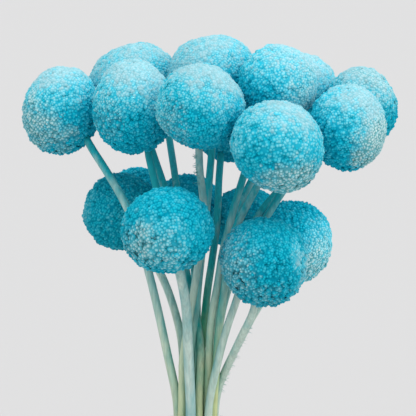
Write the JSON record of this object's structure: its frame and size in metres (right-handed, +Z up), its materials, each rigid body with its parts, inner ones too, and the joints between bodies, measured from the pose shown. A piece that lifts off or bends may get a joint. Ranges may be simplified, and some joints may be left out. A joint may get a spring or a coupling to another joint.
{
  "type": "dried craspedia bunch in bottle",
  "caption": "Loose bunch of round blue craspedia heads on bare, gently curved stems, held in the narrow neck of a clear glass bottle that stands on a flat foot.",
  "frame": {"origin": "middle of the bottle's foot, on the surface that it stands on", "axes": "+Z up along the bottle's axis, -Y towards the side that the picture shows, +X to its right"},
  "size_m": [0.136, 0.1267, 0.2948],
  "materials": {
    "florets": "dry, dense and matt, dyed cyan blue with paler tips",
    "stems": "dried, matt, grey green with pale blue stains of dye",
    "glass": "clear and polished"
  },
  "bodies": {
    "root": {"bottle": "glass", "head_upper_left": "florets", "head_upper_back_left": "florets", "head_upper_front_left": "florets", "head_upper_front_middle": "florets", "head_upper_back_middle": "florets", "head_upper_middle_right": "florets", "head_upper_back_right": "florets", "head_upper_front_right": "florets", "head_upper_right": "florets", "head_upper_far_right": "florets", "head_inner_back": "florets", "head_hidden_back": "florets", "head_lower_left": "florets", "head_lower_back_left": "florets", "head_lower_front_left": "florets", "head_lower_back_middle": "florets", "head_lower_back_right": "florets", "head_lower_front_right": "florets", "head_lower_right": "florets", "stem_upper_left": "stems", "stem_upper_back_left": "stems", "stem_upper_front_left": "stems", "stem_upper_front_middle": "stems", "stem_upper_back_middle": "stems", "stem_upper_middle_right": "stems", "stem_upper_back_right": "stems", "stem_upper_front_right": "stems", "stem_upper_right": "stems", "stem_upper_far_right": "stems", "stem_inner_back": "stems", "stem_hidden_back": "stems", "stem_lower_left": "stems", "stem_lower_back_left": "stems", "stem_lower_front_left": "stems", "stem_lower_back_middle": "stems", "stem_lower_back_right": "stems", "stem_lower_front_right": "stems", "stem_lower_right": "stems"}
  },
  "joints": []
}
